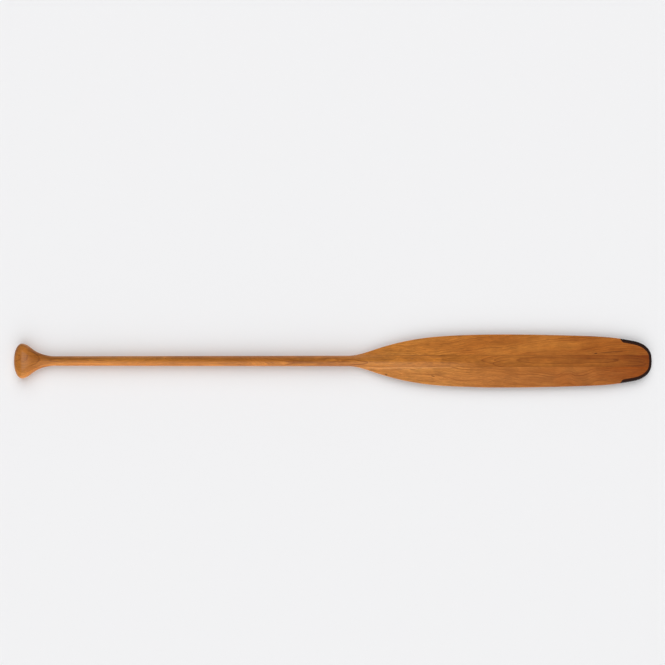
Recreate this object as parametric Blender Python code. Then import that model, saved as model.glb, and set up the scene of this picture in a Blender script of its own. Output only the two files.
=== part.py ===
"""Laminated canoe paddle, carved from glued boards, with a cast-resin tip guard.

The paddle lies along X with its mid-plane level: grip end at -X, blade tip at +X, blade width along Y.
Metres, +Z up, the origin under the middle of the paddle on the surface that it lies on.
A carved form gives the outside shape. Each board is a sawn block, kept only where it lies inside that form,
and the resin guard fills the form outside the wooden core's edge.
"""

import math

import bmesh
import bpy
import numpy as np

# Overall sizes
PADDLE_LENGTH = 1.524
STOCK_THICKNESS = 0.03175

# Boards
STAVE_WIDTH = 0.028
GLUE_LINE = 0.0003

# Shaft, an oval that is deeper than it is wide
THROAT_WIDTH = 0.0254
SHAFT_WIDTH_AT_GRIP = 0.0231
SHAFT_DEPTH_AT_GRIP = 0.0285

# Blade outline
BLADE_LENGTH = 0.726
BLADE_WIDTH = 0.127
TIP_ROUND_LENGTH = 0.0455
TIP_ROUND_POWER = 2.65

# Blade thickness
BLADE_THICKNESS = 0.0075
TIP_THICKNESS = 0.006
TIP_TAPER_LENGTH = 0.100
EDGE_THICKNESS = 0.0048
LENS_RUN = 0.040

# Spine, the ridge that carries the shaft down into the blade
SPINE_LENGTH = 0.400
SPINE_FULL_DEPTH_RUN = 0.050
SPINE_WIDTH_AT_THROAT = 0.044
SPINE_WIDTH_AT_END = 0.030
SPINE_LIMIT_POWER = 6
SPINE_FADE_START_POWER = 1.5
SPINE_FADE_END_POWER = 3
THROAT_BLEND = 0.060

# Grip outline
GRIP_LENGTH = 0.110
GRIP_WIDTH = 0.0835
GRIP_ROUND_LENGTH = 0.022
GRIP_ROUND_POWER = 2.15

# Grip depth along the paddle: end, bulb, neck, then the shaft's own depth
GRIP_END_DEPTH = 0.028
BULB_FROM_END = 0.022
NECK_FROM_END = 0.075
NECK_DEPTH = 0.022
SHAFT_DEPTH_FROM_END = 0.180
LOBE_DROP = 0.002
LOBE_RUN = 0.018
GRIP_EDGE_RADIUS = 0.0065
FAN_BLEND = 0.055

# Powers of the cross section's height: the shaft's is an ellipse, the spine's runs out to a hollow foot
OVAL_POWER = 0.5
SPINE_SIDE_POWER = 2.0

# Tip guard and the tongue that keys it to the wood
GUARD_REACH = 0.076
GUARD_SIDE_WIDTH = 0.0085
GUARD_TIP_WIDTH = 0.0066
GUARD_HOOK = 0.0105
TONGUE_LENGTH = 0.003
TONGUE_THICKNESS = 0.0016
SEAT_CLEARANCE = 0.0003

# Outlines, as the way from the shaft's half width (0) to the full half width (1) along each end
BLADE_OUTLINE = [
    (0.000, 0.000),
    (0.040, 0.077),
    (0.092, 0.311),
    (0.146, 0.540),
    (0.200, 0.717),
    (0.270, 0.868),
    (0.342, 0.945),
    (0.554, 1.000),
    (0.767, 0.936),
    (0.891, 0.814),
    (1.000, 0.510),
]
GRIP_OUTLINE = [
    (0.000, 0.000),
    (0.182, 0.007),
    (0.318, 0.095),
    (0.455, 0.253),
    (0.549, 0.431),
    (0.643, 0.685),
    (0.736, 0.908),
    (0.827, 1.009),
    (1.000, 1.066),
]

# Finishes: colours in linear light, roughness under the clear coat, and the weight of that coat
STAVE_COLOUR = (0.37, 0.115, 0.026)
WING_COLOUR = (0.41, 0.14, 0.031)
CHEEK_COLOUR = (0.39, 0.13, 0.029)
RESIN_COLOUR = (0.018, 0.013, 0.012)
WOOD_ROUGHNESS = 0.35
RESIN_ROUGHNESS = 0.25
FULL_COAT = 1.0

# Fineness of the carved form
CORE_COLUMNS = 6
EDGE_COLUMNS = 7
END_ROWS = 11
END_CORNER = 0.4
EDGE_BUNCHING = 2.5
SHAFT_EDGE_BUNCHING = 2.0
CORE_SHARE = 0.8
OUTLINE_SAMPLES = 400
GUARD_SIDE_POINTS = 16
GUARD_ROUND_POINTS = 15
MERGE = 0.000001
PAD = 0.010
SHARP_ANGLE = math.radians(35)

GRIP_END = -PADDLE_LENGTH / 2
BLADE_TIP = PADDLE_LENGTH / 2
THROAT = BLADE_TIP - BLADE_LENGTH
GRIP_JOIN = GRIP_END + GRIP_LENGTH
MID_HEIGHT = STOCK_THICKNESS / 2
STAVE_HALF = STAVE_WIDTH / 2


def clear_scene():
    """Remove every object that the file holds."""
    for item in list(bpy.data.objects):
        bpy.data.objects.remove(item, do_unlink=True)


def new_collection(name):
    """A collection linked to the scene."""
    group = bpy.data.collections.new(name)
    bpy.context.scene.collection.children.link(group)
    return group


def ease(share):
    """0 below 0, 1 above 1, and a smooth step between."""
    t = np.clip(share, 0.0, 1.0)
    return t * t * (3.0 - 2.0 * t)


def smooth_curve(points):
    """A curve through the points with no break in slope or curvature, level at its first point."""
    x = np.array([p[0] for p in points])
    y = np.array([p[1] for p in points])
    gap = np.diff(x)
    rise = np.diff(y) / gap
    count = len(x)
    system = np.zeros((count, count))
    right = np.zeros(count)
    system[0, 0] = 1.0
    for i in range(1, count - 1):
        system[i, i - 1] = gap[i]
        system[i, i] = 2.0 * (gap[i - 1] + gap[i])
        system[i, i + 1] = gap[i - 1]
        right[i] = 3.0 * (gap[i] * rise[i - 1] + gap[i - 1] * rise[i])
    system[-1, -2] = 1.0
    system[-1, -1] = 2.0
    right[-1] = 3.0 * rise[-1]
    slope = np.linalg.solve(system, right)

    def value(at):
        at = np.clip(at, x[0], x[-1])
        k = np.clip(np.searchsorted(x, at, side="right") - 1, 0, count - 2)
        t = (at - x[k]) / gap[k]
        start = (1 + 2 * t) * (1 - t) ** 2 * y[k] + t * (1 - t) ** 2 * gap[k] * slope[k]
        finish = t * t * (3 - 2 * t) * y[k + 1] + t * t * (t - 1) * gap[k] * slope[k + 1]
        return start + finish

    return value


blade_curve = smooth_curve(BLADE_OUTLINE)
grip_curve = smooth_curve(GRIP_OUTLINE)


def rounded_end(distance, length, power):
    """How far a blunt rounded end has opened at a distance from it, from 0 at the end to 1."""
    inward = np.clip(1.0 - distance / length, 0.0, 1.0)
    return (1.0 - inward ** power) ** (1.0 / power)


def half_width(x):
    """Half width of the paddle's outline at x."""
    along = np.clip((x - GRIP_JOIN) / (THROAT - GRIP_JOIN), 0.0, 1.0)
    shaft = (SHAFT_WIDTH_AT_GRIP + (THROAT_WIDTH - SHAFT_WIDTH_AT_GRIP) * along) / 2
    blade_way = blade_curve((x - THROAT) / BLADE_LENGTH)
    grip_way = grip_curve((GRIP_JOIN - x) / GRIP_LENGTH)
    body = shaft + (BLADE_WIDTH / 2 - shaft) * blade_way + (GRIP_WIDTH / 2 - shaft) * grip_way
    tip = rounded_end(BLADE_TIP - x, TIP_ROUND_LENGTH, TIP_ROUND_POWER)
    end = rounded_end(x - GRIP_END, GRIP_ROUND_LENGTH, GRIP_ROUND_POWER)
    return body * tip * end


def outline_places(count):
    """Places along X that follow the outline closely, bunched up at both rounded ends."""
    turn = np.linspace(0.0, math.pi / 2, count)
    start = GRIP_END + GRIP_ROUND_LENGTH * (1 - np.cos(turn))
    finish = BLADE_TIP - TIP_ROUND_LENGTH * (1 - np.cos(turn))
    middle = np.linspace(start[-1], finish[-1], 4 * count)
    return np.unique(np.concatenate([start, middle, finish]))


def edge_distance(x, y):
    """Shortest way from the points (x, y) to the paddle's outline."""
    places = outline_places(OUTLINE_SAMPLES)
    outline = np.column_stack([places, half_width(places)])
    run = np.diff(outline, axis=0)
    points = np.column_stack([x, np.abs(y)])
    offset = points[:, None, :] - outline[None, :-1, :]
    along = np.clip((offset * run).sum(axis=2) / (run ** 2).sum(axis=1), 0.0, 1.0)
    away = offset - along[:, :, None] * run
    return np.sqrt((away ** 2).sum(axis=2).min(axis=1))


def rounding(distance, radius):
    """Height share of a quarter-round edge at a distance in from the outline."""
    inside = np.clip(1.0 - distance / radius, 0.0, 1.0)
    return np.sqrt(1.0 - inside ** 2)


def spine_half_width(x):
    """Half width of the ridge: the shaft's own at the throat, then held to a limit that narrows."""
    down = ease((x - THROAT) / SPINE_LENGTH)
    limit = (SPINE_WIDTH_AT_THROAT + (SPINE_WIDTH_AT_END - SPINE_WIDTH_AT_THROAT) * down) / 2
    width = half_width(x)
    held = width * (1.0 + (width / limit) ** SPINE_LIMIT_POWER) ** (-1.0 / SPINE_LIMIT_POWER)
    return width + (held - width) * ease((x - THROAT) / THROAT_BLEND)


def shaft_half_depth(x):
    """Half depth of the shaft's oval, deepest at the throat."""
    start = GRIP_END + SHAFT_DEPTH_FROM_END
    along = ease((x - start) / (THROAT - start))
    return (SHAFT_DEPTH_AT_GRIP + (STOCK_THICKNESS - SHAFT_DEPTH_AT_GRIP) * along) / 2


def blade_half_depth(x, y, distance):
    """Half depth of the shaft's lower part, the throat and the blade."""
    from_throat = x - THROAT
    blade = ease(from_throat / THROAT_BLEND)
    tip = 1.0 - ease((BLADE_TIP - x) / TIP_TAPER_LENGTH)
    centre = (BLADE_THICKNESS + (TIP_THICKNESS - BLADE_THICKNESS) * tip) / 2
    edge = EDGE_THICKNESS / 2
    face = edge + (centre - edge) * ease(distance / LENS_RUN)
    plate = face * rounding(distance, edge)
    run = np.clip((from_throat - SPINE_FULL_DEPTH_RUN) / (SPINE_LENGTH - SPINE_FULL_DEPTH_RUN), 0.0, 1.0)
    fade = (1.0 - run ** SPINE_FADE_START_POWER) ** SPINE_FADE_END_POWER
    ridge = (shaft_half_depth(x) - centre * blade) * fade
    across = np.clip(1.0 - (y / np.maximum(spine_half_width(x), MERGE)) ** 2, 0.0, 1.0)
    return plate * blade + ridge * across ** (OVAL_POWER + (SPINE_SIDE_POWER - OVAL_POWER) * blade)


def grip_centre_half_depth(x):
    """Half depth of the grip on the centre line: end, bulb, neck and shaft in turn."""
    from_end = x - GRIP_END
    depth = GRIP_END_DEPTH + (STOCK_THICKNESS - GRIP_END_DEPTH) * ease(from_end / BULB_FROM_END)
    neck = ease((from_end - BULB_FROM_END) / (NECK_FROM_END - BULB_FROM_END))
    shaft = ease((from_end - NECK_FROM_END) / (SHAFT_DEPTH_FROM_END - NECK_FROM_END))
    depth = depth + (NECK_DEPTH - STOCK_THICKNESS) * neck + (SHAFT_DEPTH_AT_GRIP - NECK_DEPTH) * shaft
    return depth / 2


def grip_half_depth(x, y, distance):
    """Half depth of the shaft's upper part and the fan-shaped grip."""
    fan = ease((GRIP_JOIN - x) / FAN_BLEND)
    width = half_width(x)
    radius = width + (GRIP_EDGE_RADIUS - width) * fan
    drop = LOBE_DROP * fan * (1.0 - ease(distance / LOBE_RUN))
    return (grip_centre_half_depth(x) - drop) * rounding(distance, radius)


def stations():
    """Places along X where the carved form has a straight section, between its two rounded ends."""
    parts = [
        np.linspace(GRIP_END + GRIP_ROUND_LENGTH, GRIP_JOIN, 17),
        np.linspace(GRIP_JOIN, GRIP_END + SHAFT_DEPTH_FROM_END, 6),
        np.linspace(GRIP_END + SHAFT_DEPTH_FROM_END, THROAT, 6),
        np.linspace(THROAT, THROAT + 2 * THROAT_BLEND, 19),
        np.linspace(THROAT + 2 * THROAT_BLEND, THROAT + SPINE_LENGTH, 12),
        np.linspace(THROAT + SPINE_LENGTH, BLADE_TIP - TIP_TAPER_LENGTH, 5),
        np.linspace(BLADE_TIP - TIP_TAPER_LENGTH, BLADE_TIP - TIP_ROUND_LENGTH, 6),
        [GRIP_END + BULB_FROM_END, GRIP_END + NECK_FROM_END],
    ]
    places = np.sort(np.concatenate(parts))
    keep = np.concatenate([[True], np.diff(places) > MERGE])
    return places[keep]


def section_row(x):
    """Points across the face at x, from the -Y edge to the +Y edge, bunched up towards both edges."""
    width = half_width(x)
    down = ease((x - THROAT) / SPINE_LENGTH)
    core = (SPINE_WIDTH_AT_THROAT + (SPINE_WIDTH_AT_END - SPINE_WIDTH_AT_THROAT) * down) / 2
    core = min(core, CORE_SHARE * width)
    inner = core * np.linspace(0.0, 1.0, CORE_COLUMNS + 1)
    on_blade = ease((x - THROAT) / THROAT_BLEND)
    bunching = SHAFT_EDGE_BUNCHING + (EDGE_BUNCHING - SHAFT_EDGE_BUNCHING) * on_blade
    to_edge = (np.arange(EDGE_COLUMNS)[::-1] / EDGE_COLUMNS) ** bunching
    outer = width - (width - core) * to_edge
    half = np.concatenate([inner, outer])
    y = np.concatenate([-half[:0:-1], half])
    return np.column_stack([np.full(len(y), x), y])


def end_rows(root, end):
    """Rows that turn from the straight section at the root into the outline of the rounded end."""
    corner = end + (root - end) * END_CORNER
    trace = end + (corner - end) * np.linspace(0.0, 1.0, OUTLINE_SAMPLES) ** 2
    traced = half_width(trace)
    straight = section_row(root)
    share = straight[:, 1] / straight[-1, 1]
    rim_y = traced[-1] * share
    rim = np.column_stack([np.interp(np.abs(rim_y), traced, trace), rim_y])
    across = (share[:, None] + 1) / 2
    rows = []
    for step in range(1, END_ROWS + 1):
        v = 1.0 - (1.0 - step / END_ROWS) ** EDGE_BUNCHING
        x = root + (corner - root) * v
        side = half_width(x)
        edges = (1 - across) * np.array([x, -side]) + across * np.array([x, side])
        faces = (1 - v) * straight + v * rim
        chord = (1 - v) * ((1 - across) * straight[0] + across * straight[-1])
        chord = chord + v * ((1 - across) * rim[0] + across * rim[-1])
        rows.append(edges + faces - chord)
    return rows


def add_row(mesh, points, depth_at, is_rim):
    """One row of vertices on the upper face and its mirror row below, which share the paddle's edge."""
    distance = edge_distance(points[:, 0], points[:, 1])
    depth = depth_at(points[:, 0], points[:, 1], distance)
    last = len(points) - 1
    upper = []
    lower = []
    for i, (x, y) in enumerate(points):
        if is_rim or i in (0, last):
            vertex = mesh.verts.new((x, y, MID_HEIGHT))
            upper.append(vertex)
            lower.append(vertex)
        else:
            upper.append(mesh.verts.new((x, y, MID_HEIGHT + depth[i])))
            lower.append(mesh.verts.new((x, y, MID_HEIGHT - depth[i])))
    return upper, lower


def carved_form(cutters):
    """The whole outside, a loft from the grip's fan over the shaft's oval to the blade's thin lens."""
    middle = (GRIP_JOIN + THROAT) / 2
    straight = [section_row(x) for x in stations()]
    grip_rows = end_rows(GRIP_END + GRIP_ROUND_LENGTH, GRIP_END)
    tip_rows = end_rows(BLADE_TIP - TIP_ROUND_LENGTH, BLADE_TIP)
    rows = grip_rows[::-1] + straight + tip_rows
    mesh = bmesh.new()
    built = []
    for k, points in enumerate(rows):
        depth_at = grip_half_depth if points[0, 0] < middle else blade_half_depth
        built.append(add_row(mesh, points, depth_at, k in (0, len(rows) - 1)))
    last = len(rows[0]) - 1
    for k in range(len(built) - 1):
        for near, far in zip(built[k], built[k + 1]):
            for i in range(last):
                quad = [near[i], far[i], far[i + 1], near[i + 1]]
                at_corner = k in (0, len(built) - 2) and i in (0, last - 1)
                if not at_corner:
                    mesh.faces.new(quad)
                    continue
                # The corner of a rounded end is split through its own vertex, which keeps it thick.
                tip_of_corner = (0 if i == 0 else 3) if k == 0 else (1 if i == 0 else 2)
                turned = quad[tip_of_corner:] + quad[:tip_of_corner]
                mesh.faces.new(turned[:3])
                mesh.faces.new([turned[0], turned[2], turned[3]])
    bmesh.ops.recalc_face_normals(mesh, faces=mesh.faces)
    bmesh.ops.triangulate(mesh, faces=mesh.faces)
    data = bpy.data.meshes.new("carved_form")
    mesh.to_mesh(data)
    mesh.free()
    form = bpy.data.objects.new("carved_form", data)
    cutters.objects.link(form)
    return form


def guard_outline():
    """Points round the tip from one hook to the other, with their outward directions."""
    run = np.linspace(BLADE_TIP - GUARD_REACH, BLADE_TIP - TIP_ROUND_LENGTH, GUARD_SIDE_POINTS)
    turn = np.linspace(math.pi / 2, 0.0, GUARD_ROUND_POINTS)
    places = np.concatenate([run[:-1], BLADE_TIP - TIP_ROUND_LENGTH * (1 - np.cos(turn))])
    upper = np.column_stack([places, half_width(places)])
    lower = upper[::-1][1:] * np.array([1.0, -1.0])
    points = np.concatenate([upper, lower])
    along = np.gradient(points, axis=0)
    outward = np.column_stack([-along[:, 1], along[:, 0]])
    outward /= np.linalg.norm(outward, axis=1)[:, None]
    return points, outward


def core_edge(grow, tongue=0.0):
    """The wooden core's edge inside the guard, grown outward by a clearance or out to the tongue's edge."""
    points, outward = guard_outline()
    band = np.hypot(GUARD_SIDE_WIDTH * outward[:, 1], GUARD_TIP_WIDTH * outward[:, 0])
    start = BLADE_TIP - GUARD_REACH + grow
    opened = np.clip((points[:, 0] - start) / GUARD_HOOK, 0.0, 1.0)
    band = band * (1.0 - (1.0 - opened) ** 2)
    if tongue:
        past_hook = ease((points[:, 0] - start - GUARD_HOOK) / GUARD_HOOK)
        band = band + SEAT_CLEARANCE - (tongue + SEAT_CLEARANCE) * past_hook
    return points - outward * (band - grow)[:, None]


def prism(name, corners, half_height, cutters):
    """An upright solid over a flat outline, centred on the paddle's mid-plane."""
    curve = bpy.data.curves.new(name, "CURVE")
    curve.dimensions = "2D"
    curve.fill_mode = "BOTH"
    curve.extrude = half_height
    line = curve.splines.new("POLY")
    line.points.add(len(corners) - 1)
    for point, (x, y) in zip(line.points, corners):
        point.co = (x, y, 0.0, 1.0)
    line.use_cyclic_u = True
    source = bpy.data.objects.new(name + "_outline", curve)
    source.location = (0.0, 0.0, MID_HEIGHT)
    bpy.context.scene.collection.objects.link(source)
    bpy.context.view_layer.update()
    shape = source.evaluated_get(bpy.context.evaluated_depsgraph_get())
    data = bpy.data.meshes.new_from_object(shape)
    solid = bpy.data.objects.new(name, data)
    solid.matrix_world = source.matrix_world.copy()
    bpy.data.objects.remove(source, do_unlink=True)
    mesh = bmesh.new()
    mesh.from_mesh(data)
    bmesh.ops.remove_doubles(mesh, verts=mesh.verts, dist=MERGE)
    bmesh.ops.recalc_face_normals(mesh, faces=mesh.faces)
    mesh.to_mesh(data)
    mesh.free()
    cutters.objects.link(solid)
    return solid


def behind_guard(edge):
    """The core's edge closed by a wide block that covers the paddle from the guard back to the grip end."""
    side = BLADE_WIDTH
    back = GRIP_END - PAD
    start = edge[0, 0]
    return [(back, -side), (start, -side)] + [tuple(p) for p in edge[::-1]] + [(start, side), (back, side)]


def wooden_seat(name, grow, cutters):
    """Everything that may be wood: the core up to its edge, and the thin tongue beyond it."""
    core = prism(name, behind_guard(core_edge(grow)), STOCK_THICKNESS, cutters)
    tongue_edge = core_edge(grow, TONGUE_LENGTH)
    inside = [tuple(p) for p in tongue_edge]
    slab = prism(name + "_tongue", inside, TONGUE_THICKNESS / 2 + grow, cutters)
    combine(core, slab, "UNION")
    return core


def combine(target, other, operation):
    """Add a Boolean modifier that joins, keeps or cuts the target by the other solid."""
    step = target.modifiers.new(operation.lower() + "_" + other.name, "BOOLEAN")
    step.operation = operation
    step.object = other
    step.solver = "EXACT"


def block(name, x_span, y_span, group):
    """A sawn block of the stock's thickness, a little deeper than the carved form."""
    bpy.ops.mesh.primitive_cube_add(size=1.0)
    board = bpy.context.active_object
    board.name = name
    board.data.name = name
    size = (x_span[1] - x_span[0], y_span[1] - y_span[0], STOCK_THICKNESS + 2 * PAD)
    for vertex in board.data.vertices:
        for axis in range(3):
            vertex.co[axis] *= size[axis]
    board.location = ((x_span[0] + x_span[1]) / 2, (y_span[0] + y_span[1]) / 2, MID_HEIGHT)
    for owner in list(board.users_collection):
        owner.objects.unlink(board)
    group.objects.link(board)
    return board


def finish(name, colour, roughness):
    """A material with the piece's own colour under a full clear coat."""
    material = bpy.data.materials.new(name)
    material.use_nodes = True
    shader = material.node_tree.nodes["Principled BSDF"]
    shader.inputs["Base Color"].default_value = (*colour, 1.0)
    shader.inputs["Roughness"].default_value = roughness
    shader.inputs["Metallic"].default_value = 0.0
    shader.inputs["Coat Weight"].default_value = FULL_COAT
    return material


def centre_stave(form, seat, group):
    """The stave that runs the whole length, through grip, shaft and blade."""
    span = (GRIP_END - PAD, BLADE_TIP + PAD)
    board = block("centre_stave", span, (-STAVE_HALF, STAVE_HALF), group)
    combine(board, form, "INTERSECT")
    combine(board, seat, "INTERSECT")
    board.data.materials.append(finish("centre_stave", STAVE_COLOUR, WOOD_ROUGHNESS))


def side_board(name, side, x_span, half_span, pieces, colour, group):
    """A board glued to one edge of the stave, on the side that the sign gives."""
    inner = STAVE_HALF + GLUE_LINE
    y_span = (inner, half_span) if side > 0 else (-half_span, -inner)
    board = block(name, x_span, y_span, group)
    for piece in pieces:
        combine(board, piece, "INTERSECT")
    board.data.materials.append(finish(name, colour, WOOD_ROUGHNESS))


def tip_guard(form, seat, group):
    """The cast-resin band that wraps the blade's tip, grooved for the wooden tongue."""
    span = (BLADE_TIP - GUARD_REACH - PAD, BLADE_TIP + PAD)
    half = BLADE_WIDTH / 2 + PAD
    band = block("tip_guard", span, (-half, half), group)
    combine(band, form, "INTERSECT")
    combine(band, seat, "DIFFERENCE")
    band.data.materials.append(finish("tip_guard", RESIN_COLOUR, RESIN_ROUGHNESS))


def settle(group):
    """Give each piece the shape that its cuts leave, smooth but for its sharp edges."""
    for item in group.objects:
        shape = item.evaluated_get(bpy.context.evaluated_depsgraph_get())
        data = bpy.data.meshes.new_from_object(shape)
        item.modifiers.clear()
        item.data = data
        data.name = item.name
        data.shade_smooth()
        data.set_sharp_from_angle(angle=SHARP_ANGLE)


def hide_cutters(cutters):
    """Keep the shaping solids out of renders and show them as wires."""
    for item in cutters.objects:
        item.hide_render = True
        item.display_type = "WIRE"


clear_scene()
paddle = new_collection("canoe_paddle")
shaping = new_collection("shaping_solids")
outside = carved_form(shaping)
wood_seat = wooden_seat("wood_seat", 0.0, shaping)
guard_seat = wooden_seat("guard_seat", SEAT_CLEARANCE, shaping)

centre_stave(outside, wood_seat, paddle)
blade_span = (THROAT - PAD, BLADE_TIP + PAD)
grip_span = (GRIP_END - PAD, GRIP_JOIN)
blade_reach = BLADE_WIDTH / 2 + PAD
grip_reach = GRIP_WIDTH / 2 + PAD
for label, sign in (("left", 1), ("right", -1)):
    wing_shapers = [outside, wood_seat]
    side_board("blade_wing_" + label, sign, blade_span, blade_reach, wing_shapers, WING_COLOUR, paddle)
    side_board("grip_cheek_" + label, sign, grip_span, grip_reach, [outside], CHEEK_COLOUR, paddle)
tip_guard(outside, guard_seat, paddle)
settle(paddle)
hide_cutters(shaping)
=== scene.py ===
"""Looks of the laminated canoe paddle, made in the order in which the real one is put together.

The paddle lies along X on the floor, with the grip's end at -X, the blade's tip at +X and its left side at
+Y. Metres, +Z up. Each piece is a fine closed surface over the same carved form as the solid that it stands
for.
"""

import math

import bmesh
import bpy
import numpy as np
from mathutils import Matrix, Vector


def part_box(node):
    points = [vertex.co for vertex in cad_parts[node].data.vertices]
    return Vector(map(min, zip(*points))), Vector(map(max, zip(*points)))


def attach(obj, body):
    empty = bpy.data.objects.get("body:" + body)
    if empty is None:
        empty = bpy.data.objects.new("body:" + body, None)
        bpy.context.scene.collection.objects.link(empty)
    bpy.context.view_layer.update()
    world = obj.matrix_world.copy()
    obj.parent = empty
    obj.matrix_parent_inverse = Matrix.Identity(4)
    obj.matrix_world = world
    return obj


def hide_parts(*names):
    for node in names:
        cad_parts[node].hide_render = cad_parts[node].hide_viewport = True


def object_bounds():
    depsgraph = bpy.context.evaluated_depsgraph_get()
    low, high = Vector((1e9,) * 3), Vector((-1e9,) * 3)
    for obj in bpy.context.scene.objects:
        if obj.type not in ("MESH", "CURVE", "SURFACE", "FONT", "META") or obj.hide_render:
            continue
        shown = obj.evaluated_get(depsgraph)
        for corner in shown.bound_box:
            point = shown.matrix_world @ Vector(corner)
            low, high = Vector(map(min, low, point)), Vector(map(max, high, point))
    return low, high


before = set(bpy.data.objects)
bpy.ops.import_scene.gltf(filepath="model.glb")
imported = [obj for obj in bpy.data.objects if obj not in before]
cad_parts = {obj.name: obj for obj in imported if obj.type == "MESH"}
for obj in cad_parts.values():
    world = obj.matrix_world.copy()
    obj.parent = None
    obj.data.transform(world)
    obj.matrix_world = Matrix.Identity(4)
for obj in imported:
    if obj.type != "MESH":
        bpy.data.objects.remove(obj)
cad_low, cad_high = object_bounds()


# Centre stave
# One long board of cherry that runs from the grip's end through the shaft to the blade's tip. It is glued up
# with the other boards first, then carved with them to the palm grip, the oval shaft and the spine that dies
# away down the blade, sanded and varnished.

GRIP_END = cad_low.x
BLADE_TIP = cad_high.x
STOCK_THICKNESS = cad_high.z
MID_HEIGHT = STOCK_THICKNESS / 2
STAVE_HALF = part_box("centre_stave")[1].y

THROAT_WIDTH = 0.0254
SHAFT_WIDTH_AT_GRIP = 0.0231
SHAFT_DEPTH_AT_GRIP = 0.0285
BLADE_LENGTH = 0.726
BLADE_WIDTH = 0.127
TIP_ROUND_LENGTH = 0.0455
TIP_ROUND_POWER = 2.65
GRIP_LENGTH = 0.110
GRIP_WIDTH = 0.0835
GRIP_ROUND_LENGTH = 0.022
GRIP_ROUND_POWER = 2.15
THROAT = BLADE_TIP - BLADE_LENGTH
GRIP_JOIN = GRIP_END + GRIP_LENGTH

# The way from the shaft's half width (0) to the full half width (1), at shares of each end's length
BLADE_OUTLINE = [
    (0.000, 0.000),
    (0.040, 0.077),
    (0.092, 0.311),
    (0.146, 0.540),
    (0.200, 0.717),
    (0.270, 0.868),
    (0.342, 0.945),
    (0.554, 1.000),
    (0.767, 0.936),
    (0.891, 0.814),
    (1.000, 0.510),
]
GRIP_OUTLINE = [
    (0.000, 0.000),
    (0.182, 0.007),
    (0.318, 0.095),
    (0.455, 0.253),
    (0.549, 0.431),
    (0.643, 0.685),
    (0.736, 0.908),
    (0.827, 1.009),
    (1.000, 1.066),
]

END_STEPS = 300
SIDE_STEPS = 1100
# A length that counts as nothing
HAIR = 1e-6


def ease(share):
    """0 below 0, 1 above 1, and between them three times the square less twice the cube."""
    t = np.clip(share, 0.0, 1.0)
    return t * t * (3.0 - 2.0 * t)


def batten_curve(points):
    """The curve that a batten bent round the points takes: cubic between them, with no break in slope or
    curvature, level at the first point and free at the last."""
    x, y = np.array(points).T
    gap = np.diff(x)
    rise = np.diff(y) / gap
    inner = np.arange(1, len(x) - 1)
    system = np.zeros((len(x), len(x)))
    pull = np.zeros(len(x))
    system[0, 0] = 1.0
    system[inner, inner - 1] = gap[1:]
    system[inner, inner] = 2.0 * (gap[:-1] + gap[1:])
    system[inner, inner + 1] = gap[:-1]
    pull[inner] = 3.0 * (gap[1:] * rise[:-1] + gap[:-1] * rise[1:])
    system[-1, -2:] = (1.0, 2.0)
    pull[-1] = 3.0 * rise[-1]
    slope = np.linalg.solve(system, pull)

    def value(at):
        """The curve at a place, from the heights and slopes at both ends of the span that it falls in."""
        at = np.clip(at, x[0], x[-1])
        k = np.clip(np.searchsorted(x, at, side="right") - 1, 0, len(gap) - 1)
        t = (at - x[k]) / gap[k]
        start = (1 + 2 * t) * (1 - t) ** 2 * y[k] + t * (1 - t) ** 2 * gap[k] * slope[k]
        finish = t * t * (3 - 2 * t) * y[k + 1] + t * t * (t - 1) * gap[k] * slope[k + 1]
        return start + finish

    return value


blade_way = batten_curve(BLADE_OUTLINE)
grip_way = batten_curve(GRIP_OUTLINE)


def rounded_end(distance, length, power):
    """How far a blunt end has opened: the power of what is left of its length, taken from one, and of that
    the root of the same power."""
    left = np.clip(1.0 - distance / length, 0.0, 1.0)
    return (1.0 - left ** power) ** (1.0 / power)


def half_width(x):
    """Half the paddle's width: the shaft's, plus the blade's and the grip's shares, closed at both ends."""
    along = np.clip((x - GRIP_JOIN) / (THROAT - GRIP_JOIN), 0.0, 1.0)
    shaft = (SHAFT_WIDTH_AT_GRIP + (THROAT_WIDTH - SHAFT_WIDTH_AT_GRIP) * along) / 2
    blade = (BLADE_WIDTH / 2 - shaft) * blade_way((x - THROAT) / BLADE_LENGTH)
    grip = (GRIP_WIDTH / 2 - shaft) * grip_way((GRIP_JOIN - x) / GRIP_LENGTH)
    tip = rounded_end(BLADE_TIP - x, TIP_ROUND_LENGTH, TIP_ROUND_POWER)
    end = rounded_end(x - GRIP_END, GRIP_ROUND_LENGTH, GRIP_ROUND_POWER)
    return (shaft + blade + grip) * tip * end


def outline():
    """Points along the +Y edge from the grip's end to the tip, their inward directions and their curvature.
    Places bunch up at both rounded ends as one less the cosine of an even turn."""
    turn = np.linspace(0.0, math.pi / 2, END_STEPS)
    start = GRIP_END + GRIP_ROUND_LENGTH * (1 - np.cos(turn))
    finish = BLADE_TIP - TIP_ROUND_LENGTH * (1 - np.cos(turn[::-1]))
    side = np.linspace(start[-1], finish[0], SIDE_STEPS)
    x = np.concatenate([start, side[1:-1], finish])
    edge = np.column_stack([x, half_width(x)])
    along = np.gradient(edge, axis=0)
    pace = np.linalg.norm(along, axis=1)
    along /= pace[:, None]
    inward = np.column_stack([along[:, 1], -along[:, 0]])
    bend = (np.gradient(along, axis=0) * inward).sum(axis=1) / pace
    return edge, inward, bend


edge_points, edge_inward, edge_bend = outline()


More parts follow.
